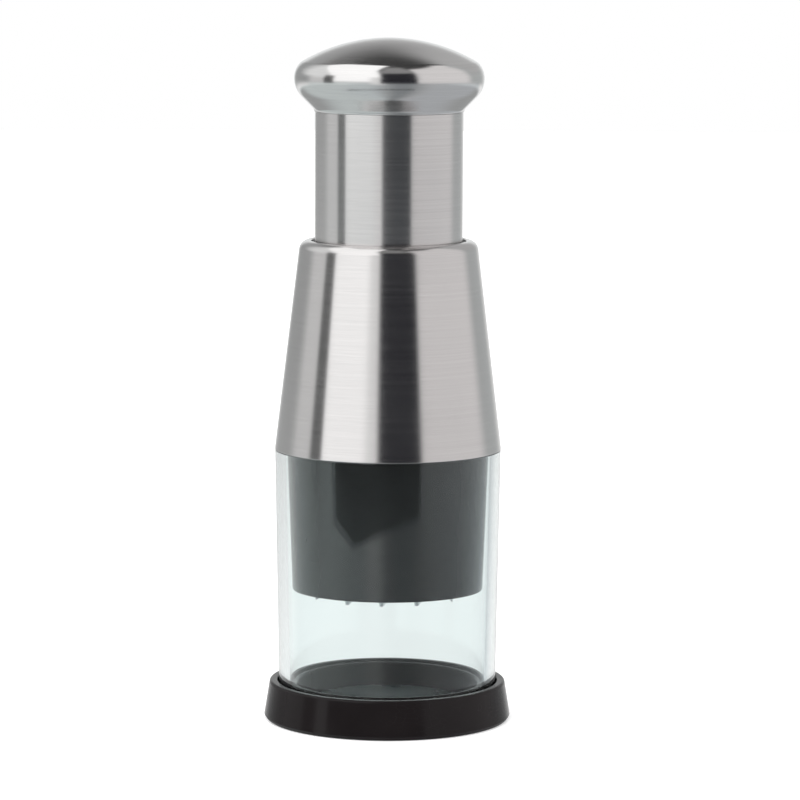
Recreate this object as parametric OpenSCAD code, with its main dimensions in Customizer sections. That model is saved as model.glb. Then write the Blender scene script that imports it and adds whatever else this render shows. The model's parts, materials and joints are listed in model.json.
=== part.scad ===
// Press-down vegetable dicer: a sprung plunger drives a zigzag blade through a
// slotted sleeve into a clear cup, and a twisted spindle turns the blade.
// Millimetres, +Z up. The origin is the middle of the underside.

/* [Overall] */
// Height from the underside to the top of the knob
total_h = 160; // [159.6:0.1:160.4]
// Distance that the knob travels when it is pressed
stroke = 25.5; // [22:0.5:25.5]
// Turn of the blade over the whole stroke, in degrees
blade_turn = 45; // [30:5:45]

/* [Base cap] */
// Largest diameter of the base cap, just above the table
base_d = 58; // [57.6:0.1:59]
// Diameter of the base cap at its top edge
base_top_d = 55.4; // [55:0.1:56]
// Height of the base cap
base_h = 9.1; // [8.8:0.1:9.4]
// Diameter of the collar that stands inside the cup
collar_d = 45.2; // [44.8:0.1:45.3]
// Diameter of the cutting disc
disc_d = 39; // [36:0.5:40]
// Height of the top of the cutting disc
disc_top = 3.9; // [3.6:0.1:3.9]

/* [Clear cup] */
// Outer diameter of the cup at its lower edge
cup_low_d = 50.9; // [50.8:0.05:51]
// Outer diameter of the cup at its shoulder
cup_high_d = 53; // [52.8:0.1:53.1]
// Inner diameter of the cup at its lower edge
cup_bore_d = 45.8; // [45.8:0.1:46]
// Height of the cup's shoulder, which carries the housing
cup_shoulder = 63.7; // [63.5:0.05:63.75]
// Height of the rim of the cup's neck
cup_rim = 68.5; // [68:0.1:68.6]

/* [Housing] */
// Outer diameter of the housing at its lower edge
shell_low_d = 53.2; // [53.1:0.1:53.6]
// Diameter that the housing's cone would have at its top face
shell_high_d = 41.4; // [41.3:0.1:41.8]
// Height of the housing's top face
shell_top = 113; // [112.9:0.1:113.4]
// Radius of the housing's rounded shoulder
shell_round = 2.2; // [2:0.1:2.4]
// Diameter of the opening round the plunger
shell_mouth_d = 36.2; // [36.1:0.1:36.4]

/* [Plunger] */
// Outer diameter of the plunger tube
tube_d = 34.5; // [34.4:0.05:34.5]
// Height of the seam between the tube and the knob
tube_top = 142.9; // [142.6:0.1:143]
// Largest diameter of the knob
knob_d = 44.2; // [44:0.1:44.6]
// Diameter of the crease where the knob's dome meets its rim
crease_d = 41; // [40.6:0.1:41.2]
// Diameter of the knob's neck
knob_neck_d = 34.9; // [34.8:0.1:35.1]
// Thickness of the steel skins
steel_t = 0.8; // [0.7:0.05:0.8]

/* [Blade] */
// Thickness of the blade strip
blade_t = 0.5; // [0.4:0.05:0.5]
// Distance across the dicer between one bend and the next
blade_step = 3.9; // [3.8:0.05:3.9]
// Radius of the circle that the bends lie on
blade_r = 19.6; // [19:0.1:19.6]
// Height of the cutting edge at rest
blade_low = 29.8; // [29.8:0.1:30]

/* [Guard] */
// Diameter of the guard sleeve at its lower edge
guard_low_d = 44.8; // [44.7:0.1:44.9]
// Diameter of the guard sleeve where the housing covers it
guard_high_d = 47.2; // [47:0.1:47.3]
// Height of the sleeve's lower edge
guard_low = 31.2; // [31:0.1:31.2]

/* [Spring] */
// Diameter of the spring's wire
wire_d = 1.3; // [1.1:0.1:1.4]
// Diameter of the spring, between the middles of its wire
spring_d = 19; // [18.6:0.1:19.4]
// Number of turns
spring_turns = 9; // [7:1:10]

/* [Hidden] */
$fn = 96;

slide_gap = 0.07;  // radial play of the tube in its bush
press_gap = 0.05;  // play between pieces that are pressed together
near_gap = 0.1;    // play between pieces of one body
free_gap = 0.3;    // play between pieces that move apart
fine_round = 0.3;  // rounding of thin edges
edge_round = 0.6;  // rounding of thick edges
over = 1;          // how far a cut runs past a face

// Base cap
contact_d = base_d - 1.2;
base_round_z = 0.9;
groove_low = 3.2;
groove_gap = 0.25;
collar_wall = 1.4;
collar_top = 9;
floor_z = 2.8;
disc_low = 2.4;
foot_low_d = 47;
foot_high_d = 53;
foot_t = 1.2;

// Clear cup
cup_low = groove_low + 0.2;
neck_d = shell_low_d - 2 * steel_t - 0.6;
neck_taper = 1.1;
neck_top_r = (neck_d - neck_taper) / 2;
neck_bore_d = 48.1;
seal_t = 0.9;

// Housing: the cone's radius falls by cone_slope for each millimetre of height
shell_low = 64;
cone_slope = (shell_low_d - shell_high_d) / 2 / (shell_top - shell_low);
function shell_r(z) = shell_low_d / 2 - cone_slope * (z - shell_low);
function liner_r(z) = shell_r(z) - steel_t - near_gap;
liner_low = cup_rim + 0.2;
liner_wall = 1.6;
liner_top = shell_top - steel_t - 2.2;
stop_low = 102.6;
stop_high = 103.8;
stop_r = 17.6;
bush_r = 18.9;
bush_lip = 0.4;    // how far the bush stays below the housing's top face
key_r = 17.6;
key_w = 3;

// Bearing plate, which hangs in the liner on a snap ring
plate_low = 71.6;
plate_high = 74;
plate_r = 22.9;
plate_step = 74.1;
plate_seat = 4;
plate_ring_low = plate_low - 1.3;
plate_ring_high = plate_low - 0.2;
plate_ring_split = 4;
nut_r = 6;
nut_bore_r = 5.2;
nut_flange_r = 7.6;
nut_flange_t = 1.4;
nut_land = 2.4;
nut_play = 0.25;
boss_r = 13;
boss_high = 77;
ring_groove_r = 24;

// Guard
guard_wall = 1.6;
guard_cover_z = shell_low;
guard_top = 70;
guard_neck_r = 22.8;
guard_flange_low = 68.7;
guard_flange_r = 17;
lip_low = 66.9;
lip_high = guard_flange_low - near_gap;
lip_r = 19.4;
retainer_bore_r = 12;
screw_circle_r = 14.3;
screw_r = 0.95;
screw_grip = 1.9;
screw_head_r = 2;
screw_head_t = 1.2;
screw_slot_w = 0.5;
screw_slot_deep = 0.5;
guard_foot = 0.6;
wiper_low = guard_low + 0.8;
wiper_t = 2;
wiper_r = 20.6;
slot_play = 0.35;
slot_end = 0.3;
rest_turn = -4;

// Plunger
tube_r = tube_d / 2;
core_r = tube_r - steel_t - press_gap;
core_bore_r = 14.2;
core_low = 100.2;
core_flange_r = 19;
core_flange_top = stop_low - free_gap;
crown_low = 134;
crown_high = 137;
socket_r = 11;
core_top = tube_top - 0.2;
post_r = 7.2;
post_low = 112;
washer_r = 6;

// Spring, which stands on the bearing plate and pushes up the plunger's crown
spring_low = boss_high;
spring_high = crown_low;
end_pitch = wire_d * 1.05;
live_pitch = (spring_high - spring_low - wire_d - 2 * end_pitch) / (spring_turns - 2);

// Spindle: a square bar with a steady twist between round journals
bar_w = 6.4;
twist_rate = blade_turn / stroke;
bar_low = 68.6;
bar_high = 104.5;
shoulder_r = 4.8;
journal_r = 3;
spindle_low = 61.7;
spindle_top = 139.6;
hub_r = 6.5;
spigot_r = 3.2;
holder_low = 60;
holder_high = 63.5;
holder_r = 20.2;
pin_z = 66.2;
pin_r = 1;
clip_low = 138;
clip_t = 0.8;
clip_r = 5;
clip_groove_r = 2.3;
blade_top = 61.5;
blade_bends = 9;
bend_flat = 0.7;

// Knob: a dome that meets a round rim at a crease, and an under-curve that runs on from the rim
dome_r = 40;
rim_turn = 47;
under_r = 6.2;
neck_fillet = 1.1;
dome_z = total_h - dome_r;
crease_r = crease_d / 2;
crease_z = dome_z + sqrt(pow(dome_r, 2) - pow(crease_r, 2));
dome_turn = acos(crease_r / dome_r);
rim_r = (knob_d / 2 - crease_r) / (1 - cos(rim_turn));
rim_x = knob_d / 2 - rim_r;
rim_z = crease_z - rim_r * sin(rim_turn);
under_x = knob_d / 2 - under_r;
fillet_x = knob_neck_d / 2 + neck_fillet;
// The under-curve leaves at 45 degrees and runs straight to the neck's fillet.
fillet_z = rim_z + (fillet_x - under_x) - (under_r + neck_fillet) * sqrt(2);

// Points on an arc about [x, z], from one angle to another
function arc(x, z, r, from, to, n = 8) =
    [for (i = [0:n]) [x + r * cos(from + (to - from) * i / n), z + r * sin(from + (to - from) * i / n)]];

// Angle of the line from a to b
function heading(a, b) = atan2(b[1] - a[1], b[0] - a[0]);

// The corner b between a and c, rounded with radius r
function corner(a, b, c, r, n = 4) =
    let (
        u = [cos(heading(b, a)), sin(heading(b, a))],
        v = [cos(heading(b, c)), sin(heading(b, c))],
        half = acos(u * v) / 2,
        mid = (u + v) / norm(u + v),
        o = [b[0], b[1]] + mid * r / sin(half),
        p = [b[0], b[1]] + u * r / tan(half),
        q = [b[0], b[1]] + v * r / tan(half),
        a0 = heading(o, p),
        turn = heading(o, q) - a0,
        sweep = turn > 180 ? turn - 360 : turn < -180 ? turn + 360 : turn
    )
    arc(o[0], o[1], r, a0, a0 + sweep, n);

// A closed outline from [radius, height] or [radius, height, rounding] corners
function outline(c) =
    [for (i = [0:len(c) - 1])
        each len(c[i]) > 2
            ? corner(c[(i + len(c) - 1) % len(c)], c[i], c[(i + 1) % len(c)], c[i][2])
            : [c[i]]];

module turned(corners) {
    rotate_extrude() polygon(outline(corners));
}

module ring(r_in, r_out, low, high) {
    turned([[r_in, low], [r_out, low], [r_out, high], [r_in, high]]);
}

module rod(r, low, high) {
    translate([0, 0, low]) cylinder(r = r, h = high - low);
}

// Radius of the cup's outside and inside at a height
function cup_r(z) = cup_low_d / 2 + (cup_high_d - cup_low_d) / 2 * (z - cup_low) / (cup_shoulder - cup_low);
function cup_bore_r(z) =
    cup_bore_d / 2 + (neck_bore_d - cup_bore_d) / 2 * (z - cup_low) / (cup_shoulder - cup_low);

// Radius of the crease between the dome and the rim, when both are moved inwards by t
function crease_at(t) =
    crease_r - t * cos((dome_turn + rim_turn) / 2) / cos((dome_turn - rim_turn) / 2);

// The same points without the first
function after(p) = [for (i = [1:len(p) - 1]) p[i]];

// The knob's outside, moved inwards by t, from the top down to the neck
function knob_outline(t) = concat(
    arc(0, dome_z, dome_r - t, 90, acos(crease_at(t) / (dome_r - t)), 10),
    after(arc(rim_x, rim_z, rim_r - t, acos((crease_at(t) - rim_x) / (rim_r - t)), 0)),
    arc(under_x, rim_z, under_r - t, 0, -45),
    arc(fillet_x, fillet_z, neck_fillet + t, 135, 180, 4));

function reversed(p) = [for (i = [len(p) - 1:-1:0]) p[i]];

// The blade strip's outline: a zigzag whose bends lie alternately in front and behind
function bend_x(i) = (i - (blade_bends - 1) / 2) * blade_step;
function bend_y(i, r) = (i % 2 == 0 ? -1 : 1) * sqrt(r * r - pow(bend_x(i), 2));

module strip(thick, extra_end = 0) {
    half_flat = bend_flat / 2;
    path = [for (i = [0:blade_bends - 1], side = [-1, 1])
        if (!(i == 0 && side < 0) && !(i == blade_bends - 1 && side > 0))
            [bend_x(i) + side * half_flat, bend_y(i, blade_r - blade_t)]];
    first = [bend_x(0) - extra_end, path[0][1]];
    last = [bend_x(blade_bends - 1) + extra_end, path[len(path) - 1][1]];
    route = concat([first], path, [last]);
    rotate(rest_turn) for (i = [0:len(route) - 2]) leg(route[i], route[i + 1], thick);
}

// One straight length of strip, with square ends that reach the outside of each bend
module leg(a, b, thick) {
    length = norm(b - a);
    translate(a) rotate(heading(a, b)) translate([-thick / 2, -thick / 2]) square([length + thick, thick]);
}

// --- Base ---

module base_cap() {
    color("#231f20") difference() {
        turned([[0, 0], [contact_d / 2, 0, edge_round], [base_d / 2, base_round_z],
            [base_top_d / 2, base_h, edge_round], [cup_r(base_h) + groove_gap, base_h, fine_round],
            [cup_r(groove_low) + groove_gap, groove_low], [collar_d / 2, groove_low],
            [collar_d / 2, collar_top, fine_round], [collar_d / 2 - collar_wall, collar_top, fine_round],
            [collar_d / 2 - collar_wall, floor_z, edge_round], [disc_d / 2 + near_gap, floor_z],
            [disc_d / 2 + near_gap, disc_low], [0, disc_low]]);
        ring(foot_low_d / 2 - press_gap, foot_high_d / 2 + press_gap, -over, foot_t);
    }
}

module foot_ring() {
    color("#2b2b2b") ring(foot_low_d / 2, foot_high_d / 2, 0, foot_t);
}

module cutting_disc() {
    color("#3b4244") turned([[0, disc_low], [disc_d / 2, disc_low],
        [disc_d / 2, disc_top, edge_round], [0, disc_top]]);
}

// --- Cup ---

module clear_cup() {
    color("#e6f0f0", 0.35) turned([[cup_bore_r(cup_low), cup_low, edge_round],
        [cup_r(cup_low), cup_low, edge_round],
        [cup_r(cup_shoulder), cup_shoulder, fine_round], [neck_d / 2, cup_shoulder],
        [neck_top_r, cup_rim, fine_round], [neck_bore_d / 2, cup_rim, fine_round],
        [neck_bore_d / 2, cup_shoulder]]);
}

// --- Head ---

module housing_shell() {
    t = steel_t;
    mouth_r = shell_mouth_d / 2;
    color("#b9b6b4") turned([[shell_low_d / 2 - t, shell_low, fine_round],
        [shell_low_d / 2, shell_low, fine_round], [shell_r(shell_top), shell_top, shell_round],
        [mouth_r, shell_top, fine_round], [mouth_r, shell_top - t, fine_round],
        [shell_r(shell_top - t) - t, shell_top - t, shell_round - t]]);
}

module housing_liner() {
    inner_low = guard_neck_r + 0.5;
    bore_r = plate_r - 1.1;
    key_low = plate_step + near_gap;
    key_foot_r = liner_r(key_low) - 4 * near_gap;
    key_head_r = liner_r(stop_low) - 4 * near_gap;
    color("#2e3133") difference() {
        turned([[inner_low, liner_low], [liner_r(liner_low), liner_low], [liner_r(liner_top), liner_top],
            [bush_r + press_gap, liner_top], [bush_r + press_gap, stop_high],
            [stop_r, stop_high], [stop_r, stop_low],
            [liner_r(stop_low) - liner_wall, stop_low], [bore_r, plate_step + plate_seat],
            [bore_r, plate_step], [inner_low, plate_step]]);
        ring(inner_low - over, ring_groove_r, plate_ring_low - near_gap, plate_ring_high + near_gap);
        ring(neck_bore_d / 2 - near_gap, neck_top_r, liner_low - over, liner_low + seal_t);
    }
    // Two keys run down the inside and stop the plunger turning.
    color("#2e3133") for (side = [0, 180])
        rotate(side) intersection() {
            translate([key_r, -key_w / 2, key_low]) cube([liner_r(key_low), key_w, stop_low - key_low]);
            turned([[0, key_low], [key_foot_r, key_low], [key_head_r, stop_low], [0, stop_low]]);
        }
}

module cup_seal() {
    color("#8c9294") ring(neck_bore_d / 2, neck_top_r - near_gap, liner_low, liner_low + seal_t);
}

module guide_bush() {
    bore = tube_r + slide_gap;
    seat_z = shell_top - steel_t - free_gap;
    collar_r = shell_mouth_d / 2 - press_gap;
    color("#1f1f20") turned([[bore, stop_high], [bush_r, stop_high], [bush_r, seat_z - edge_round],
        [collar_r, seat_z], [collar_r, shell_top - bush_lip], [bore, shell_top - bush_lip]]);
}

module bearing_plate() {
    color("#3a3d3f") difference() {
        union() {
            rod(plate_r, plate_low, plate_high);
            rod(boss_r, plate_low, boss_high);
        }
        rod(nut_r + press_gap, plate_low - over, boss_high + over);
        at_screws() rod(screw_r, plate_low - over, plate_low + screw_grip + near_gap);
    }
}

module plate_ring() {
    color("#a8a8a8") difference() {
        ring(plate_r - edge_round, ring_groove_r - near_gap, plate_ring_low, plate_ring_high);
        translate([0, -plate_ring_split / 2, plate_ring_low - over])
            cube([ring_groove_r, plate_ring_split, 3 * over]);
    }
}

module cam_nut() {
    nut_top = boss_high + nut_flange_t;
    land_low = nut_top - nut_land;
    hole_w = bar_w + 2 * nut_play;
    color("#c9a24a") difference() {
        union() {
            rod(nut_r, plate_low, boss_high);
            rod(nut_flange_r, boss_high, nut_top);
        }
        rod(nut_bore_r, plate_low - over, land_low);
        translate([0, 0, land_low + nut_land / 2]) rotate(bar_angle(land_low + nut_land / 2))
            cube([hole_w, hole_w, nut_land + over], center = true);
    }
}

module guard_retainer() {
    pivot_r = guard_flange_r - free_gap - near_gap;
    color("#45494b") difference() {
        turned([[retainer_bore_r, lip_low], [lip_r, lip_low, fine_round], [lip_r, lip_high, fine_round],
            [pivot_r, lip_high], [pivot_r, plate_low], [retainer_bore_r, plate_low]]);
        at_screws() rod(screw_r + near_gap, lip_low - over, plate_low + over);
        at_screws() rod(screw_head_r + near_gap, lip_low - over, lip_low + near_gap + screw_head_t);
    }
}

module at_screws() {
    for (a = [60:120:300]) rotate(a) translate([screw_circle_r, 0, 0]) children();
}

module retainer_screws() {
    head_low = lip_low + near_gap;
    color("#b0b0b0") at_screws() difference() {
        union() {
            rod(screw_head_r, head_low, head_low + screw_head_t);
            rod(screw_r, head_low + screw_head_t / 2, plate_low + screw_grip);
        }
        translate([0, 0, head_low])
            cube([2 * screw_head_r + over, screw_slot_w, 2 * screw_slot_deep], center = true);
    }
}

// Height of the spring wire's middle after t turns; the first and last turns lie flat
function coil_z(t) =
    spring_low + wire_d / 2 + end_pitch * (min(t, 1) + max(0, t - spring_turns + 1))
    + live_pitch * max(0, min(t - 1, spring_turns - 2));

// The corners of the wire's eight-sided section after t turns
function coil_section(t) =
    [for (b = [0:45:315])
        let (r = spring_d / 2 + wire_d / 2 * cos(b))
        [r * cos(360 * t), r * sin(360 * t), coil_z(t) + wire_d / 2 * sin(b)]];

module return_spring() {
    steps_a_turn = 20;
    steps = spring_turns * steps_a_turn;
    sides = 8;
    sections = [for (i = [0:steps]) each coil_section(i / steps_a_turn)];
    skin = [for (i = [0:steps - 1], j = [0:sides - 1])
        let (k = (j + 1) % sides)
        [i * sides + j, i * sides + k, (i + 1) * sides + k, (i + 1) * sides + j]];
    start = [for (j = [sides - 1:-1:0]) j];
    end = [for (j = [0:sides - 1]) steps * sides + j];
    color("#9a9a9a") polyhedron(points = sections, faces = concat([start, end], skin));
}

// --- Plunger ---

module knob_shell() {
    color("#c4c2c0") rotate_extrude() polygon(concat(
        knob_outline(0), [[knob_neck_d / 2, tube_top], [knob_neck_d / 2 - steel_t, tube_top]],
        reversed(knob_outline(steel_t))));
}

module knob_core() {
    inset = steel_t + press_gap;
    stem_r = socket_r - near_gap;
    hollow_top = spindle_top + free_gap;
    color("#2e3133") rotate_extrude() polygon(concat(
        knob_outline(inset),
        [[knob_neck_d / 2 - inset, tube_top], [stem_r, tube_top], [stem_r, hollow_top], [0, hollow_top]]));
}

module plunger_tube() {
    color("#b9b6b4") ring(tube_r - steel_t, tube_r, core_flange_top, tube_top);
}

module plunger_core() {
    color("#34383a") difference() {
        turned([[core_bore_r, core_low], [core_flange_r, core_low, fine_round],
            [core_flange_r, core_flange_top], [core_r, core_flange_top],
            [core_r, core_top], [socket_r, core_top], [socket_r, crown_high],
            [journal_r + press_gap, crown_high], [journal_r + press_gap, post_low], [post_r, post_low],
            [post_r, crown_low], [core_bore_r, crown_low]]);
        for (side = [0, 180])
            rotate(side) translate([key_r - free_gap, -key_w / 2 - free_gap, core_low - over])
                cube([core_flange_r, key_w + 2 * free_gap, core_flange_top - core_low + 2 * over]);
    }
}

module thrust_washer() {
    color("#e8e4da") ring(journal_r + press_gap, washer_r, crown_high, clip_low);
}

module spindle_clip() {
    color("#8f8f8f") difference() {
        ring(clip_groove_r + press_gap, clip_r, clip_low + press_gap, clip_low + clip_t);
        translate([0, -clip_groove_r, clip_low - over]) cube([clip_r + over, 2 * clip_groove_r, 3 * over]);
    }
}

// --- Blade unit ---

// Angle of the square bar at a height, at rest
function bar_angle(z) = twist_rate * (z - bar_low);

module cam_spindle() {
    bar_h = bar_high - bar_low;
    color("#bdbdbd") difference() {
        union() {
            rod(spigot_r, spindle_low, bar_low);
            translate([0, 0, bar_low])
                linear_extrude(height = bar_h, twist = -twist_rate * bar_h, slices = 32, segments = 8)
                    square(bar_w, center = true);
            rod(shoulder_r, bar_high, post_low - near_gap);
            rod(journal_r, post_low - near_gap, spindle_top);
        }
        ring(clip_groove_r, journal_r + over, clip_low, clip_low + clip_t + press_gap);
        cross_rod(pin_r, 2 * spigot_r + over);
    }
}

// A rod across the axis at the height of the pin
module cross_rod(r, length) {
    translate([0, 0, pin_z]) rotate([0, 90, 0]) cylinder(r = r, h = length, center = true);
}

module spindle_pin() {
    color("#9a9a9a") cross_rod(pin_r, 2 * (hub_r - free_gap));
}

module blade_holder() {
    color("#3c4042") difference() {
        union() {
            rod(holder_r, holder_low, holder_high);
            rod(hub_r, holder_low, bar_low - near_gap);
        }
        rod(spigot_r + press_gap, spindle_low - near_gap, bar_low);
        cross_rod(pin_r, 2 * hub_r + over);
        translate([0, 0, holder_low - over])
            linear_extrude(height = blade_top - holder_low + over) strip(blade_t + near_gap);
    }
}

module zigzag_blade() {
    color("#d0d0d0") translate([0, 0, blade_low])
        linear_extrude(height = blade_top - blade_low) strip(blade_t);
}

// --- Guard ---

module guard_sleeve() {
    inner_low = guard_low_d / 2 - guard_wall;
    inner_high = guard_neck_r - guard_wall;
    color("#4a5052") turned([[inner_low - guard_foot, guard_low], [guard_low_d / 2, guard_low, edge_round],
        [guard_high_d / 2, guard_cover_z, fine_round], [guard_neck_r, guard_cover_z + guard_foot],
        [guard_neck_r, guard_top, fine_round],
        [guard_flange_r, guard_top], [guard_flange_r, guard_flange_low], [inner_high, guard_flange_low],
        [inner_low, wiper_low], [inner_low - guard_foot, wiper_low]]);
}

module wiper_plate() {
    color("#45494b") difference() {
        rod(wiper_r, wiper_low, wiper_low + wiper_t);
        translate([0, 0, wiper_low - over])
            linear_extrude(height = wiper_t + 2 * over) strip(blade_t + 2 * slot_play, slot_end);
    }
}

base_cap();
foot_ring();
cutting_disc();
clear_cup();
housing_shell();
housing_liner();
cup_seal();
guide_bush();
bearing_plate();
plate_ring();
cam_nut();
guard_retainer();
retainer_screws();
return_spring();
knob_shell();
knob_core();
plunger_tube();
plunger_core();
thrust_washer();
spindle_clip();
cam_spindle();
spindle_pin();
blade_holder();
zigzag_blade();
guard_sleeve();
wiper_plate();
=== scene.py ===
"""The looks of a press-down vegetable dicer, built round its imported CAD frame. Metres, +Z up."""
import json
import math
from typing import NamedTuple

import bpy
from mathutils import Matrix, Vector


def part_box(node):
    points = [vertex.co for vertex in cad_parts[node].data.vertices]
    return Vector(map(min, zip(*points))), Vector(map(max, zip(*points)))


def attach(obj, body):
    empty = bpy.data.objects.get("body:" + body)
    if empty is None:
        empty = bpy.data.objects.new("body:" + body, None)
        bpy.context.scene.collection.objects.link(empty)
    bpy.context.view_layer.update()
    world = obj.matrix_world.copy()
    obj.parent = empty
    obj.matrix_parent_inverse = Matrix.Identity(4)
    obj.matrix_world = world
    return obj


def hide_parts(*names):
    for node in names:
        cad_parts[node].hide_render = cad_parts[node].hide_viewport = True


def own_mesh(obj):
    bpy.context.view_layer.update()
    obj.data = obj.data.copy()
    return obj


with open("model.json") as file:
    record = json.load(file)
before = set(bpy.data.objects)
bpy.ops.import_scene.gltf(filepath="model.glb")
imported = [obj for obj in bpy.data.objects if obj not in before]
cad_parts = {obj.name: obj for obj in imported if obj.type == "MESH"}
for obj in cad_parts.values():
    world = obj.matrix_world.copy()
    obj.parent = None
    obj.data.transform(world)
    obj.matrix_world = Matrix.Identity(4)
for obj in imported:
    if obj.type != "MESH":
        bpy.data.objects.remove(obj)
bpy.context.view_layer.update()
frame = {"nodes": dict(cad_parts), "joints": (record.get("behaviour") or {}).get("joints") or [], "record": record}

MM = 0.001
TURN = 2 * math.pi
RECORD = frame["record"]
SLOT_OF = {part["node"]: part["material_slot"] for part in RECORD["subparts"]}
BODY_OF = {node: body for body, nodes in RECORD["behaviour"]["bodies"].items() for node in nodes}
JOINT = {joint["name"]: joint for joint in frame["joints"]}
BOX = {node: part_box(node) for node in frame["nodes"]}

LATHE_STEPS = 192           # faces round each turned piece
CORNER_STEPS = 6            # straight runs in each rounded corner of an outline
SMOOTH_UNDER = 32           # degrees: sharper corners than this stay crisp
SKIN = 0.8 * MM             # thickness of the steel skins
EDGE = 0.3 * MM             # rounding of thin edges
SOFT_EDGE = 0.6 * MM        # rounding of thick edges
FIT = 0.05 * MM             # gap between pieces that fit each other
KNOB_NECK = 17.45 * MM      # radius of the knob where it meets the tube
GRIND = 1.4 * MM            # height of the blade's ground bevel


def low(node):
    """Height of a CAD node's lowest point."""
    return BOX[node][0].z


def high(node):
    """Height of a CAD node's highest point."""
    return BOX[node][1].z


def reach(node):
    """Largest radius of a turned CAD node."""
    return BOX[node][1].x


# --- Outlines: lists of (radius, height) points ---

def arc(centre, radius, start, end, steps):
    """Points on an arc about centre, between two angles in degrees."""
    angles = [math.radians(start + (end - start) * i / steps) for i in range(steps + 1)]
    return [(centre[0] + radius * math.cos(a), centre[1] + radius * math.sin(a)) for a in angles]


def rounded_corner(before, corner, after, radius):
    """The corner between its two neighbours, rounded off."""
    a, b, c = (Vector(p[:2]) for p in (before, corner, after))
    to_a, to_c = (a - b).normalized(), (c - b).normalized()
    half = to_a.angle(to_c) / 2
    centre = b + (to_a + to_c).normalized() * radius / math.sin(half)
    first = b + to_a * radius / math.tan(half) - centre
    last = b + to_c * radius / math.tan(half) - centre
    start = math.degrees(math.atan2(first.y, first.x))
    sweep = math.degrees(math.atan2(last.y, last.x)) - start
    sweep = (sweep + 180) % 360 - 180
    return arc(centre, radius, start, start + sweep, CORNER_STEPS)


def outline(*corners):
    """A closed outline from (radius, height) or (radius, height, rounding) corners."""
    points = []
    for i, corner in enumerate(corners):
        if len(corner) == 3:
            points += rounded_corner(corners[i - 1], corner, corners[(i + 1) % len(corners)], corner[2])
        else:
            points.append(corner)
    return points


def with_guides(points):
    """Adds a point near both ends of each long straight, so that smooth shading stays flat along it."""
    inset, long = 0.12 * MM, 0.6 * MM
    guided = []
    for point, following in zip(points, points[1:] + points[:1]):
        a, b = Vector(point), Vector(following)
        guided.append(point)
        if (b - a).length > long:
            step = (b - a).normalized() * inset
            guided += [tuple(a + step), tuple(b - step)]
    return guided


# --- Meshes ---

def make_object(name, vertices, faces):
    """A smooth-shaded object whose corners stay crisp where they are sharp."""
    mesh = bpy.data.meshes.new(name)
    mesh.from_pydata(vertices, [], faces)
    mesh.validate()
    mesh.shade_smooth()
    mesh.set_sharp_from_angle(angle=math.radians(SMOOTH_UNDER))
    piece = bpy.data.objects.new(name, mesh)
    bpy.context.scene.collection.objects.link(piece)
    return piece


def lathe(name, points):
    """A solid turned about +Z from a closed outline that runs anticlockwise."""
    vertices, rings = [], []
    for radius, height in with_guides(points):
        count = LATHE_STEPS if radius > EDGE / 10 else 1    # a ring on the axis is one point
        rings.append(range(len(vertices), len(vertices) + count))
        for k in range(count):
            angle = TURN * k / LATHE_STEPS
            vertices.append((radius * math.cos(angle), radius * math.sin(angle), height))
    faces = []
    for lower, upper in zip(rings, rings[1:] + rings[:1]):
        if len(lower) + len(upper) == 2:
            continue
        for k in range(LATHE_STEPS):
            a, b = lower[k % len(lower)], lower[(k + 1) % len(lower)]
            c, d = upper[(k + 1) % len(upper)], upper[k % len(upper)]
            faces.append(tuple(dict.fromkeys((a, b, c, d))))
    return make_object(name, vertices, faces)


def skin_sections(name, sections):
    """A solid from closed sections with the same number of points, in a row and capped at both ends."""
    count = len(sections[0])
    vertices = [point for section in sections for point in section]
    faces = [tuple(reversed(range(count)))]
    for row in range(len(sections) - 1):
        first, second = row * count, (row + 1) * count
        for k in range(count):
            after = (k + 1) % count
            faces.append((first + k, first + after, second + after, second + k))
    faces.append(tuple(range(len(vertices) - count, len(vertices))))
    return make_object(name, vertices, faces)


# --- Pieces that stand for CAD nodes ---

def base_cap():
    """Moulded cap with a groove for the cup, a collar, a recess for the disc and a groove below."""
    node, floor, groove, recess = "base_cap", 2.8 * MM, 3.2 * MM, 2.4 * MM
    contact = reach(node) - SOFT_EDGE
    widest_z = 0.9 * MM
    rim = 27.7 * MM
    groove_out, draft = 25.9 * MM, 0.1 * MM
    collar, collar_wall, collar_top = 22.6 * MM, 1.4 * MM, 9 * MM
    disc = reach("cutting_disc") + 2 * FIT
    foot_out, foot_in, foot_top = reach("foot_ring") + FIT, 23.45 * MM, high("foot_ring")
    return lathe(node, outline(
        (0, 0), (foot_in, 0, EDGE / 2), (foot_in, foot_top), (foot_out, foot_top),
        (foot_out, 0, EDGE / 2), (contact, 0, SOFT_EDGE), (reach(node), widest_z),
        (rim, high(node), SOFT_EDGE), (groove_out, high(node), EDGE),
        (groove_out - draft, groove, EDGE), (collar, groove, EDGE),
        (collar, collar_top, SOFT_EDGE), (collar - collar_wall, collar_top, SOFT_EDGE),
        (collar - collar_wall, floor, SOFT_EDGE), (disc, floor, EDGE / 2), (disc, recess), (0, recess)))


def foot_ring():
    """Soft ring with rounded lips, set flush in the underside."""
    node, inner = "foot_ring", 23.5 * MM
    return lathe(node, outline(
        (inner, low(node), EDGE), (reach(node), low(node), EDGE),
        (reach(node), high(node)), (inner, high(node))))


def cutting_disc():
    """Disc that the blade presses food onto."""
    node = "cutting_disc"
    return lathe(node, outline(
        (0, low(node)), (reach(node), low(node)), (reach(node), high(node), SOFT_EDGE), (0, high(node))))


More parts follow.
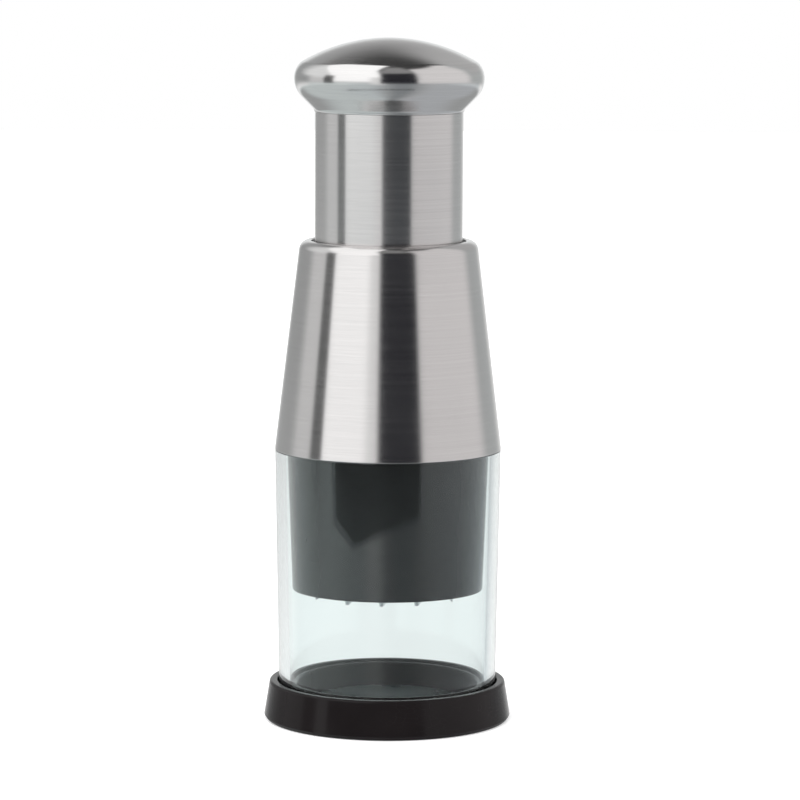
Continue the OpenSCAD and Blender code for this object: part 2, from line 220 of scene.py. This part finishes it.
def clear_cup():
    """Tapered clear tube with a shoulder for the housing and a neck that centres it."""
    node, shoulder = "clear_cup", low("housing_shell") - FIT
    foot, foot_bore = 25.45 * MM, 22.9 * MM
    neck, neck_top, bore = 25.5 * MM, 24.95 * MM, 24.05 * MM
    return lathe(node, outline(
        (foot_bore, low(node), SOFT_EDGE), (foot, low(node), SOFT_EDGE),
        (reach(node), shoulder, EDGE / 3), (neck, shoulder, EDGE / 3),
        (neck_top, high(node), EDGE), (bore, high(node), EDGE), (bore, shoulder)))


def housing_shell():
    """Conical steel skin with a rounded shoulder, an open top and a rounded lower edge."""
    node, mouth, shoulder_round, cone_top = "housing_shell", 18.1 * MM, 2.2 * MM, 20.7 * MM
    return lathe(node, outline(
        (reach(node) - SKIN, low(node), EDGE / 2), (reach(node), low(node), EDGE / 2),
        (cone_top, high(node), shoulder_round), (mouth, high(node), EDGE),
        (mouth, high(node) - SKIN, EDGE), (cone_top - SKIN, high(node) - SKIN, shoulder_round - SKIN)))


def guide_bush():
    """Dark bearing ring round the plunger tube, with a lip that fills the housing's mouth."""
    node, bore, body, lip = "guide_bush", 17.32 * MM, 18.9 * MM, 18.05 * MM
    seat = high("housing_shell") - SKIN - EDGE
    return lathe(node, outline(
        (bore, low(node), EDGE), (body, low(node), EDGE), (body, seat - SOFT_EDGE), (lip, seat),
        (lip, high(node), EDGE / 2), (bore, high(node), EDGE)))


def knob_profile(inset):
    """The knob's outside, moved inwards, from the top of the dome down to the neck."""
    widest, crease = reach("knob_shell"), 20.5 * MM
    dome, under, fillet = 40 * MM, 6.2 * MM, 1.1 * MM
    rim_turn = 47
    dome_z = high("knob_shell") - dome
    dome_turn = math.degrees(math.acos(crease / dome))
    rim = (widest - crease) / (1 - math.cos(math.radians(rim_turn)))
    rim_z = dome_z + math.sqrt(dome ** 2 - crease ** 2) - rim * math.sin(math.radians(rim_turn))
    fillet_z = rim_z + KNOB_NECK + fillet - (widest - under) - (under + fillet) * math.sqrt(2)
    mean_turn, half_turn = (math.radians((dome_turn + side * rim_turn) / 2) for side in (1, -1))
    meet = crease - inset * math.cos(mean_turn) / math.cos(half_turn)
    dome_end = math.degrees(math.acos(meet / (dome - inset)))
    rim_start = math.degrees(math.acos((meet - (widest - rim)) / (rim - inset)))
    return (arc((0, dome_z), dome - inset, 90, dome_end, steps=40)
            + arc((widest - rim, rim_z), rim - inset, rim_start, 0, steps=16)[1:]
            + arc((widest - under, rim_z), under - inset, 0, -45, steps=12)[1:]
            + arc((KNOB_NECK + fillet, fillet_z), fillet + inset, 135, 180, steps=8))


def knob_shell():
    """Pressed knob cover in one sheet: dome, crease, round rim, flared underside and neck."""
    node = "knob_shell"
    inner, outer = (KNOB_NECK - SKIN, low(node)), (KNOB_NECK, low(node))
    lip = [inner] + rounded_corner(inner, outer, (KNOB_NECK, high(node)), EDGE / 2)
    return lathe(node, lip + knob_profile(0)[::-1] + knob_profile(SKIN))


def plunger_tube():
    """Brushed tube, with a broken edge where it meets the knob."""
    node = "plunger_tube"
    bore = reach(node) - SKIN
    return lathe(node, outline(
        (bore, low(node)), (reach(node), low(node), EDGE),
        (reach(node), high(node), EDGE / 2), (bore, high(node))))


def guard_sleeve():
    """Tapered sleeve with a lip below for the slotted plate, and a flange above that it hangs on."""
    node, wall = "guard_sleeve", 1.6 * MM
    foot, neck, flange_bore = 22.4 * MM, 22.8 * MM, 17 * MM
    cover_z, flange_low = 64 * MM, 68.7 * MM
    plate_low = low("wiper_plate")
    lip = foot - wall - SOFT_EDGE
    return lathe(node, outline(
        (lip, low(node), EDGE), (foot, low(node), SOFT_EDGE), (reach(node), cover_z, EDGE),
        (neck, cover_z + SOFT_EDGE), (neck, high(node), EDGE), (flange_bore, high(node), EDGE),
        (flange_bore, flange_low, EDGE), (neck - wall, flange_low, EDGE), (foot - wall, plate_low),
        (lip, plate_low)))


def zigzag_line():
    """The blade strip's centre line seen from above: sharp bends, alternately in front and behind."""
    bends, step, bend_radius, half_flat, fold = 9, 3.9 * MM, 19.1 * MM, 0.35 * MM, 0.3 * MM
    corners = []
    for i in range(bends):
        x = (i - (bends - 1) / 2) * step
        y = (-1) ** (i + 1) * math.sqrt(bend_radius ** 2 - x ** 2)
        corners += [(x - half_flat, y), (x + half_flat, y)]
    corners[0] = (corners[0][0] + half_flat, corners[0][1])
    corners[-1] = (corners[-1][0] - half_flat, corners[-1][1])
    line = [Vector(corners[0])]
    for before, corner, after in zip(corners, corners[1:], corners[2:]):
        line += [Vector(point) for point in rounded_corner(before, corner, after, fold)]
    return line + [Vector(corners[-1])]


def zigzag_blade():
    """One folded steel strip, ground to a thin cutting edge below."""
    node, half, edge_half = "zigzag_blade", 0.25 * MM, 0.03 * MM
    rest_turn = math.radians(-4)
    levels = ((edge_half, low(node)), (half, low(node) + GRIND), (half, high(node)))
    line = zigzag_line()
    runs = [(following - point).normalized() for point, following in zip(line, line[1:])]
    sections = []
    for point, before, after in zip(line, runs[:1] + runs, runs + runs[-1:]):
        across = (before + after).normalized().orthogonal()
        across /= across.dot(before.orthogonal())
        section = [(*(point + across * offset), z) for offset, z in levels]
        section += [(*(point - across * offset), z) for offset, z in reversed(levels)]
        sections.append(section)
    piece = skin_sections(node, sections)
    piece.data.transform(Matrix.Rotation(rest_turn, 4, "Z"))
    return piece


def return_spring():
    """Round wire wound in an even helix between two closed end turns."""
    node, wire, turns, steps, sides = "return_spring", 0.65 * MM, 9, 48, 16
    coil = reach(node) - wire
    closed = 2.1 * wire     # rise of an end turn
    rise = (high(node) - low(node) - 2 * wire - 2 * closed) / (turns - 2)
    sections = []
    for i in range(turns * steps + 1):
        turn = i / steps
        height = low(node) + wire + closed * (min(turn, 1) + max(0, turn - turns + 1))
        height += rise * max(0, min(turn - 1, turns - 2))
        outward = Vector((math.cos(TURN * turn), math.sin(TURN * turn), 0))
        centre = outward * coil + Vector((0, 0, height))
        section = []
        for k in range(sides):
            angle = -TURN * k / sides
            upward = Vector((0, 0, wire * math.sin(angle)))
            section.append(tuple(centre + outward * wire * math.cos(angle) + upward))
        sections.append(section)
    return skin_sections(node, sections)


def cam_spindle():
    """Square bar with a steady twist, a round spigot below, and a journal with a clip groove above."""
    node, count, bar_steps = "cam_spindle", 64, 96
    spigot, bar_low, bar_high, half = 3.2 * MM, 68.6 * MM, 104.5 * MM, 3.2 * MM
    shoulder, shoulder_top, journal = 4.8 * MM, 111.9 * MM, 3 * MM
    groove, groove_low, groove_high = 2.3 * MM, 138 * MM, 138.85 * MM
    travel, swing = JOINT["plunger_press"]["range_m"], JOINT["blade_turn"]["range_deg"]
    twist = math.radians(swing[1] - swing[0]) / (travel[1] - travel[0])
    round_power, square_power = 2, 10

    def section(height, size, power, turn=0):
        """A rounded square, or a circle where the power is 2."""
        points = []
        for k in range(count):
            angle = TURN * k / count
            c, s = math.cos(angle), math.sin(angle)
            radius = size * (abs(c) ** power + abs(s) ** power) ** (-1 / power)
            points.append((radius * math.cos(angle + turn), radius * math.sin(angle + turn), height))
        return points

    sections = [section(low(node), spigot - EDGE, round_power),
                section(low(node) + EDGE, spigot, round_power),
                section(bar_low, spigot, round_power)]
    for i in range(bar_steps + 1):
        height = bar_low + (bar_high - bar_low) * i / bar_steps
        sections.append(section(height, half, square_power, twist * (height - bar_low)))
    turned = ((bar_high, shoulder), (shoulder_top, shoulder), (shoulder_top, journal),
              (groove_low, journal), (groove_low, groove), (groove_high, groove),
              (groove_high, journal), (high(node) - EDGE, journal), (high(node), journal - EDGE))
    for height, size in turned:
        sections.append(section(height, size, round_power))
    return skin_sections(node, sections)


# --- Materials ---

class Nodes:
    """A node tree, with short calls for what the world and the materials both use."""

    def __init__(self, tree):
        self.tree = tree

    def node(self, kind, inputs=(), **settings):
        """A new node with its settings, and its inputs by index or name: values or other outputs."""
        made = self.tree.nodes.new(kind)
        for key, value in settings.items():
            setattr(made, key, value)
        for index, value in dict(inputs).items():
            if isinstance(value, bpy.types.NodeSocket):
                self.tree.links.new(value, made.inputs[index])
            else:
                made.inputs[index].default_value = value
        return made

    def math(self, operation, a, b=0.0, c=0.0):
        """The result of one operation on up to three numbers or outputs."""
        return self.node("ShaderNodeMath", {0: a, 1: b, 2: c}, operation=operation).outputs[0]

    def spread(self, value, to_low, to_high, from_low=0.3, from_high=0.7, shape="LINEAR"):
        """Maps one range to another and holds it there."""
        ends = {0: value, 1: from_low, 2: from_high, 3: to_low, 4: to_high}
        return self.node("ShaderNodeMapRange", ends, interpolation_type=shape).outputs[0]

    def over(self, factor, under, colour):
        """A colour laid over another colour or over an output."""
        if isinstance(under, tuple):
            under = (*under, 1)
        mix = self.node("ShaderNodeMix", {0: factor, 6: under, 7: (*colour, 1)}, data_type="RGBA")
        return mix.outputs[2]


class Paint(Nodes):
    """A material round one Principled shader, whose sockets are set by name."""

    def __init__(self, name, **sockets):
        self.material = bpy.data.materials.new(name)
        self.material.use_nodes = True
        super().__init__(self.material.node_tree)
        self.shader = self.tree.nodes["Principled BSDF"]
        for socket, value in sockets.items():
            self.shader.inputs[socket.replace("_", " ")].default_value = value

    def feed(self, socket, output):
        """Joins an output to one of the shader's sockets."""
        self.tree.links.new(output, self.shader.inputs[socket])

    def clear_where(self, factor):
        """Makes the surface transparent where the factor is 1."""
        clear = self.node("ShaderNodeBsdfTransparent").outputs[0]
        mix = self.node("ShaderNodeMixShader", {0: factor, 1: self.shader.outputs[0], 2: clear})
        self.tree.links.new(mix.outputs[0], self.tree.nodes["Material Output"].inputs[0])

    def place(self, scale=(1, 1, 1)):
        """Where a point is on the object, in metres, stretched by a scale for each axis."""
        where = self.node("ShaderNodeTexCoord").outputs["Object"]
        return self.node("ShaderNodeMapping", {"Vector": where, "Scale": scale}).outputs[0]

    def turned_place(self, lines, drift):
        """A place that changes fast along the outline and slowly round the axis, for lines round it."""
        where = self.node("ShaderNodeTexCoord").outputs["Object"]
        parts = self.node("ShaderNodeSeparateXYZ", {0: where}).outputs
        flat = self.node("ShaderNodeCombineXYZ", {0: parts[0], 1: parts[1]}).outputs[0]
        radius = self.node("ShaderNodeVectorMath", {0: flat}, operation="LENGTH").outputs["Value"]
        around = self.math("MULTIPLY", self.math("SUBTRACT", parts[0], parts[1]), drift)
        return self.node("ShaderNodeCombineXYZ", {
            0: self.math("MULTIPLY", radius, lines),
            1: self.math("MULTIPLY", parts[2], lines),
            2: around}).outputs[0]

    def noise(self, where, scale=1.0, detail=2.0, roughness=0.5):
        """Smooth noise between about 0.3 and 0.7."""
        return self.node("ShaderNodeTexNoise", {
            "Vector": where, "Scale": scale, "Detail": detail, "Roughness": roughness}).outputs[0]

    def scratches(self, stretch, width, dimensions="3D"):
        """Thin lines, 1 on the line and 0 off it, along the edges of stretched cells."""
        edge = self.node("ShaderNodeTexVoronoi", {"Vector": self.place(stretch), "Scale": 1.0},
                         feature="DISTANCE_TO_EDGE", voronoi_dimensions=dimensions).outputs[0]
        return self.spread(edge, 1, 0, 0, width)

    def bump(self, height, depth):
        """Feeds the shader's normal from a height; depth is in metres."""
        bumped = self.node("ShaderNodeBump", {
            "Height": height, "Strength": 1.0, "Distance": depth}).outputs[0]
        self.feed("Normal", bumped)

    def worn_edges(self, strength):
        """1 along convex edges, broken up by noise, and 0 elsewhere."""
        pointiness = self.node("ShaderNodeNewGeometry").outputs["Pointiness"]
        edge = self.spread(pointiness, 0, strength, 0.52, 0.6)
        patches = self.spread(self.noise(self.place(), scale=900, detail=3), 0, 1, 0.4, 0.62)
        return self.math("MULTIPLY", edge, patches)


def shade(colour, factor):
    """A colour made lighter or darker."""
    return tuple(channel * factor for channel in colour)


def brushed_steel(name, colour, roughness, anisotropy, lines, depth):
    """Stainless steel with fine lines round the axis, which blur its reflections up and down."""
    quarter_turn = 0.25
    paint = Paint(name, Metallic=1.0, Anisotropic=anisotropy, Anisotropic_Rotation=quarter_turn)
    tangent = paint.node("ShaderNodeTangent", direction_type="RADIAL", axis="Z").outputs[0]
    paint.feed("Tangent", tangent)
    fine = paint.noise(paint.turned_place(lines, drift=60), detail=3, roughness=0.7)
    coarse = paint.noise(paint.turned_place(lines / 3, drift=18))
    smudge = paint.noise(paint.place(), scale=45, detail=3)
    colours = paint.over(paint.spread(fine, 0, 1), shade(colour, 0.95), shade(colour, 1.04))
    colours = paint.over(paint.spread(smudge, 0, 0.22, 0.5, 0.72), colours, shade(colour, 0.92))
    nicks = paint.scratches((300, 300, 900), width=0.012)
    rare = paint.spread(paint.noise(paint.place(), scale=70), 0, 0.35, 0.56, 0.66)
    colours = paint.over(paint.math("MULTIPLY", nicks, rare), colours, shade(colour, 0.75))
    paint.feed("Base Color", colours)
    varied = paint.math("ADD", paint.spread(coarse, -0.018, 0.018), paint.spread(smudge, -0.015, 0.025))
    paint.feed("Roughness", paint.math("ADD", varied, roughness))
    paint.bump(paint.math("MULTIPLY_ADD", coarse, 0.25, fine), depth)
    return paint.material


def moulded_plastic(name, colour, roughness, grain, depth, wear, ior=1.45):
    """Injection-moulded plastic: slight orange peel or grain, rubbed edges and faint scuffs."""
    paint = Paint(name, IOR=ior)
    peel = paint.noise(paint.place(), scale=grain, detail=3)
    cloud = paint.noise(paint.place(), scale=60, detail=3)
    colours = paint.over(paint.spread(cloud, 0, 1), shade(colour, 0.88), shade(colour, 1.12))
    rubbed = tuple(0.12 + 0.6 * channel for channel in colour)
    colours = paint.over(paint.worn_edges(wear), colours, rubbed)
    paint.feed("Base Color", colours)
    scuffs = paint.scratches((420, 420, 900), width=0.02)
    rare = paint.spread(paint.noise(paint.place(), scale=90), 0, 0.25, 0.5, 0.62)
    scuffs = paint.math("MULTIPLY", scuffs, rare)
    varied = paint.math("ADD", paint.spread(cloud, -0.03, 0.05), scuffs)
    paint.feed("Roughness", paint.math("ADD", varied, roughness))
    paint.bump(peel, depth)
    return paint.material


def cut_disc_plastic(name, colour):
    """Disc surface with fine straight knife marks, where the blade has met it."""
    paint = Paint(name, IOR=1.45)
    across = paint.scratches((260, 1400, 1), width=0.03, dimensions="2D")
    along = paint.scratches((1500, 240, 1), width=0.03, dimensions="2D")
    marks = paint.math("MAXIMUM", across, along)
    cloud = paint.noise(paint.place(), scale=120, detail=3)
    colours = paint.over(paint.spread(cloud, 0, 1), shade(colour, 0.85), shade(colour, 1.15))
    colours = paint.over(paint.math("MULTIPLY", marks, 0.35), colours, shade(colour, 2.4))
    paint.feed("Base Color", colours)
    paint.feed("Roughness", paint.spread(cloud, 0.24, 0.36))
    grain = paint.noise(paint.place(), scale=2500)
    paint.bump(paint.math("SUBTRACT", grain, marks), 0.012 * MM)
    return paint.material


def clear_plastic(name):
    """Clear moulded plastic with a faint cool tint, hair scratches and slight flow ripples."""
    paint = Paint(name, Transmission_Weight=0.994, IOR=1.49)
    flow = paint.noise(paint.place((60, 60, 25)))
    cloud = paint.noise(paint.place(), scale=35)
    tint, paler_tint = (0.935, 0.984, 0.979), (0.945, 0.988, 0.984)
    paint.feed("Base Color", paint.over(paint.spread(cloud, 0, 1), tint, paler_tint))
    hairs = paint.scratches((350, 350, 1400), width=0.012)
    rare = paint.spread(paint.noise(paint.place(), scale=80), 0, 0.12, 0.5, 0.64)
    hairs = paint.math("MULTIPLY", hairs, rare)
    paint.feed("Roughness", paint.math("ADD", hairs, 0.012))
    paint.bump(flow, 0.02 * MM)
    return paint.material


def soft_rubber(name, colour):
    """Matt rubber with a fine leathery grain and patches of dust."""
    paint = Paint(name, IOR=1.4)
    grain = paint.noise(paint.place(), scale=3200, detail=4)
    dust = paint.noise(paint.place(), scale=220, detail=4)
    dusty = paint.over(paint.spread(dust, 0, 1), shade(colour, 0.85), shade(colour, 1.35))
    paint.feed("Base Color", dusty)
    paint.feed("Roughness", paint.spread(dust, 0.62, 0.82))
    paint.bump(grain, 0.02 * MM)
    return paint.material


def blade_metal(name, colour):
    """Rolled strip with lines along it, and a ground bevel with lines across it and a brighter edge."""
    bevel_top = low("zigzag_blade") + GRIND
    paint = Paint(name, Metallic=1.0)
    height = paint.node("ShaderNodeSeparateXYZ", {0: paint.place()}).outputs[2]
    on_bevel = paint.spread(height, 1, 0, bevel_top - 0.1 * MM, bevel_top)
    rolled = paint.noise(paint.place((40, 40, 5200)), detail=3)
    ground = paint.noise(paint.place((5200, 5200, 60)))
    lines = paint.node("ShaderNodeMix", {0: on_bevel, 2: rolled, 3: ground}).outputs[0]
    colours = paint.over(paint.spread(lines, 0, 1), shade(colour, 0.82), shade(colour, 1.08))
    colours = paint.over(paint.math("MULTIPLY", on_bevel, 0.5), colours, shade(colour, 1.25))
    paint.feed("Base Color", colours)
    smoother = paint.math("MULTIPLY", on_bevel, -0.06)
    paint.feed("Roughness", paint.math("ADD", paint.spread(lines, 0.16, 0.3), smoother))
    paint.bump(lines, 0.006 * MM)
    return paint.material


def turned_metal(name, colour, roughness):
    """Machined metal with lathe lines and a little tarnish."""
    paint = Paint(name, Metallic=1.0)
    lines = paint.noise(paint.turned_place(lines=5000, drift=40), detail=3)
    tarnish = paint.noise(paint.place(), scale=260, detail=4)
    colours = paint.over(paint.spread(lines, 0, 1), shade(colour, 0.85), shade(colour, 1.08))
    colours = paint.over(paint.spread(tarnish, 0, 0.5, 0.5, 0.75), colours, shade(colour, 0.6))
    paint.feed("Base Color", colours)
    paint.feed("Roughness", paint.math("ADD", paint.spread(tarnish, -0.05, 0.1), roughness))
    paint.bump(lines, 0.008 * MM)
    return paint.material


# For each slot of the record: the function that makes its material, and what that is given
FINISHES = {
    "brushed_skin": (brushed_steel, dict(
        colour=(0.67, 0.656, 0.651), roughness=0.2, anisotropy=0.8, lines=6400, depth=0.0014 * MM)),
    "knob_steel": (brushed_steel, dict(
        colour=(0.72, 0.71, 0.705), roughness=0.15, anisotropy=0.5, lines=5200, depth=0.0006 * MM)),
    "base_black": (moulded_plastic, dict(
        colour=(0.0125, 0.0105, 0.011), roughness=0.15, grain=900, depth=0.0006 * MM, wear=0.1,
        ior=1.22)),
    "guard_grey": (moulded_plastic, dict(
        colour=(0.0155, 0.016, 0.017), roughness=0.16, grain=1200, depth=0.003 * MM, wear=0.1)),
    "inner_plastic": (moulded_plastic, dict(
        colour=(0.025, 0.027, 0.028), roughness=0.4, grain=2600, depth=0.015 * MM, wear=0.2)),
    "disc_plastic": (cut_disc_plastic, dict(colour=(0.085, 0.108, 0.111))),
    "clear": (clear_plastic, {}),
    "soft_grey": (soft_rubber, dict(colour=(0.22, 0.235, 0.24))),
    "soft_black": (soft_rubber, dict(colour=(0.02, 0.02, 0.02))),
    "bearing_white": (moulded_plastic, dict(
        colour=(0.75, 0.74, 0.70), roughness=0.35, grain=1800, depth=0.006 * MM, wear=0.0)),
    "blade_steel": (blade_metal, dict(colour=(0.66, 0.67, 0.68))),
    "part_steel": (turned_metal, dict(colour=(0.6, 0.6, 0.6), roughness=0.28)),
    "nut_brass": (turned_metal, dict(colour=(0.72, 0.53, 0.24), roughness=0.25)),
}


# --- Putting the pieces on their bodies ---

def dress(piece, material):
    """Gives a piece one material all over."""
    piece.data.materials.clear()
    piece.data.materials.append(material)


def stand_in(build, materials):
    """Builds the piece for the CAD node that its function is named after, and swaps it in."""
    node = build.__name__
    piece = build()
    piece.name = node + "_piece"
    dress(piece, materials[SLOT_OF[node]])
    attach(piece, BODY_OF[node])
    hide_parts(node)
    return piece


# --- Studio ---

class Card(NamedTuple):
    """A soft box or a dark gap round the object; angles are in degrees, and azimuth 0 is in front."""

    azimuth: float          # of its middle, growing to the right
    elevation: float        # of its middle
    width: float
    height: float
    side_soft: float        # softness of its left and right sides
    end_soft: float         # softness of its top and bottom
    colour: tuple
    lean: float = 0         # how far its middle has moved at the elevation LEAN_AT
    growth: float = 0       # how much wider it is at the elevation LEAN_AT


LEAN_AT = 50                # degrees
CARDS = {                   # later cards cover earlier ones
    "floor_left": Card(-110, -48, 110, 84, 15, 3, (0.63, 0.68, 0.68)),
    "floor_front_left": Card(-35, -48, 60, 84, 18, 3, (0.60, 0.65, 0.66)),
    "floor_right": Card(100, -48, 110, 84, 25, 3, (0.49, 0.51, 0.53)),
    "floor_front": Card(18, -48, 55, 84, 24, 3, (0.27, 0.29, 0.30)),
    "floor_behind": Card(-180, -40, 84, 52, 12, 3, (0.38, 0.39, 0.39)),
    "horizon_left": Card(-104, -12, 116, 5, 14, 2.5, (0.78, 0.84, 0.84)),
    "horizon_right": Card(124, -12, 76, 5, 25, 2.5, (0.66, 0.70, 0.72)),
    "horizon_behind": Card(-165, -10, 100, 6, 8, 2, (1.0, 1.0, 1.0)),
    "far_left": Card(-140, 13.5, 56, 43, 12, 6, (0.38, 0.39, 0.39)),
    "side_left": Card(-97, 14.5, 24, 45, 5, 4, (0.70, 0.70, 0.70)),
    "high_left": Card(-100, 37, 66, 54, 16, 6, (0.90, 0.91, 0.91)),
    "right_box": Card(84, 27, 94, 70, 5, 4, (0.82, 0.80, 0.80)),
    "right_far": Card(135, 21, 40, 58, 10, 4, (0.48, 0.50, 0.50)),
    "high_right": Card(148, 30, 50, 38, 12, 8, (0.50, 0.50, 0.50)),
    "behind": Card(180, 4, 34, 22, 8, 6, (0.85, 0.87, 0.87)),
    "front_high": Card(11, 54, 46, 44, 8, 8, (0.30, 0.30, 0.30)),
    "left_box": Card(-42, 46, 62, 97, 3, 4, (1.36, 1.36, 1.36), lean=-32, growth=51),
    "left_box_end": Card(-14, 4, 18, 34, 6, 6, (0.92, 0.92, 0.92)),
    "left_gap": Card(-79, 5.5, 15, 29, 2, 3, (0.10, 0.10, 0.10)),
    "front_gap": Card(12, 16.25, 45, 51.5, 2.5, 3, (0.015, 0.015, 0.02)),
}


def studio_world():
    """Light from all round, as a pattern of soft boxes and dark gaps that reflections show.

    Seen directly or through the clear cup it is plain white."""
    world = bpy.data.worlds.new("studio")
    bpy.context.scene.world = world
    world.use_nodes = True
    sky = Nodes(world.node_tree)

    def inside(offset, half, soft):
        """1 where an offset is less than half a width, and 0 beyond it, with a soft edge."""
        past = sky.math("SUBTRACT", sky.math("ABSOLUTE", offset), half)
        return sky.spread(past, 1.0, 0.0, -soft, soft, "SMOOTHSTEP")

    direction = sky.node("ShaderNodeTexCoord").outputs["Generated"]
    x, y, z = sky.node("ShaderNodeSeparateXYZ", {0: direction}).outputs
    azimuth = sky.math("DEGREES", sky.math("ARCTAN2", x, sky.math("MULTIPLY", y, -1.0)))
    elevation = sky.math("DEGREES", sky.math("ARCSINE", z))
    past_lean, curve = 1.1, 3.0
    raised = sky.spread(elevation, 0.0, past_lean, 0.0, LEAN_AT * past_lean)
    raised = sky.math("POWER", raised, curve)
    low_light, high_light, falls_from, falls_to = 0.72, 0.05, 3.0, 56.0
    brightness = sky.spread(elevation, low_light, high_light, falls_from, falls_to)
    light = sky.over(brightness, (0, 0, 0), (1, 1, 1))
    for card in CARDS.values():
        centre = sky.math("MULTIPLY_ADD", raised, card.lean, card.azimuth)
        aside = sky.math("WRAP", sky.math("SUBTRACT", azimuth, centre), 180.0, -180.0)
        half = sky.math("MULTIPLY_ADD", raised, card.growth / 2, card.width / 2)
        above = sky.math("SUBTRACT", elevation, card.elevation)
        across = inside(aside, half, card.side_soft)
        mask = sky.math("MULTIPLY", across, inside(above, card.height / 2, card.end_soft))
        light = sky.over(mask, light, card.colour)
    path = sky.node("ShaderNodeLightPath").outputs
    bounces = sky.math("ADD", path["Diffuse Depth"], path["Glossy Depth"])
    light = sky.over(sky.math("LESS_THAN", bounces, 1.0), light, (1, 1, 1))
    sky.tree.links.new(light, sky.tree.nodes["Background"].inputs[0])


def pale_floor():
    """A round white floor that runs into the white background; it can be looked through from below."""
    size, steps, gap = 2.5, 96, 0.02 * MM
    edge = arc((0, 0), size, 0, 360, steps)[:-1]
    floor = make_object("floor", [(x, y, -gap) for x, y in edge], [tuple(range(steps))])
    paint = Paint("floor_paint", Roughness=0.9, Specular_IOR_Level=0.0, Emission_Color=(1, 1, 1, 1),
                  Emission_Strength=0.4)
    cloud = paint.noise(paint.place(), scale=3)
    white, whiter = (0.93, 0.93, 0.93), (0.95, 0.95, 0.95)
    paint.feed("Base Color", paint.over(paint.spread(cloud, 0, 1), white, whiter))
    paint.clear_where(paint.node("ShaderNodeNewGeometry").outputs["Backfacing"])
    dress(floor, paint.material)
    floor.visible_glossy = False
    floor.visible_transmission = False


def dark_flag():
    """A dark flag in front, which shows in reflections and not straight through the cup.

    It leans towards the knob, and its outer edge dips on the left."""
    left, dip, right, step = -55, -34, 32, 3        # azimuths, in degrees
    outer, left_z, dip_z, right_z = 0.235, 10 * MM, 2.4 * MM, 11 * MM
    inner, inner_z = 0.170, 39 * MM
    azimuths = range(left, right + 1, step)
    vertices = []
    for azimuth in azimuths:
        end, end_z = (left, left_z) if azimuth < dip else (right, right_z)
        outer_z = dip_z + (end_z - dip_z) * (azimuth - dip) / (end - dip)
        turn = math.radians(azimuth)
        for distance, z in ((outer, outer_z), (inner, inner_z)):
            vertices.append((distance * math.sin(turn), -distance * math.cos(turn), z))
    faces = [(2 * k, 2 * k + 2, 2 * k + 3, 2 * k + 1) for k in range(len(azimuths) - 1)]
    flag = make_object("dark_flag", vertices, faces)
    paint = Paint("flag_paint", Base_Color=(0.01, 0.01, 0.01, 1), Specular_IOR_Level=0.0, Roughness=1.0)
    path = paint.node("ShaderNodeLightPath").outputs
    bounces = paint.math("ADD", path["Diffuse Depth"], path["Glossy Depth"])
    paint.clear_where(paint.math("LESS_THAN", bounces, 1.0))
    dress(flag, paint.material)
    flag.visible_camera = False
    flag.visible_diffuse = False
    flag.visible_shadow = False


def top_light():
    """A soft light from above that whitens the floor and lights the cup's inside.

    Reflections don't show it."""
    angle, energy = math.radians(100), 1.7
    data = bpy.data.lights.new("top_light", "SUN")
    data.angle = angle
    data.energy = energy
    light = bpy.data.objects.new("top_light", data)
    light.location = (0, 0, 1)
    light.visible_glossy = False
    bpy.context.scene.collection.objects.link(light)


def camera():
    """A long lens in front, a little above the knob, looking slightly down."""
    distance, height, aside = 0.913, 0.189, 0.0023
    pitch, roll = math.radians(7.093), math.radians(-0.24)
    lens, sensor = 176.65, 36       # as Blender counts them, in millimetres
    data = bpy.data.cameras.new("camera")
    data.lens = lens
    data.sensor_width = sensor
    eye = bpy.data.objects.new("camera", data)
    eye.location = (aside, -distance, height)
    eye.rotation_euler = (math.pi / 2 - pitch, roll, 0)
    bpy.context.scene.collection.objects.link(eye)
    bpy.context.scene.camera = eye


# --- The scene ---

STAND_INS = (base_cap, foot_ring, cutting_disc, clear_cup, housing_shell, guide_bush, knob_shell,
             plunger_tube, guard_sleeve, zigzag_blade, return_spring, cam_spindle)
MATERIALS = {slot: make(slot, **values) for slot, (make, values) in FINISHES.items()}
for node, carried in frame["nodes"].items():
    dress(carried, MATERIALS[SLOT_OF[node]])
made = {build.__name__: stand_in(build, MATERIALS) for build in STAND_INS}

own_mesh(made["return_spring"])

camera()
studio_world()
top_light()
pale_floor()
dark_flag()
bpy.context.scene.view_settings.view_transform = "Standard"
bpy.context.scene.cycles.use_denoising = True
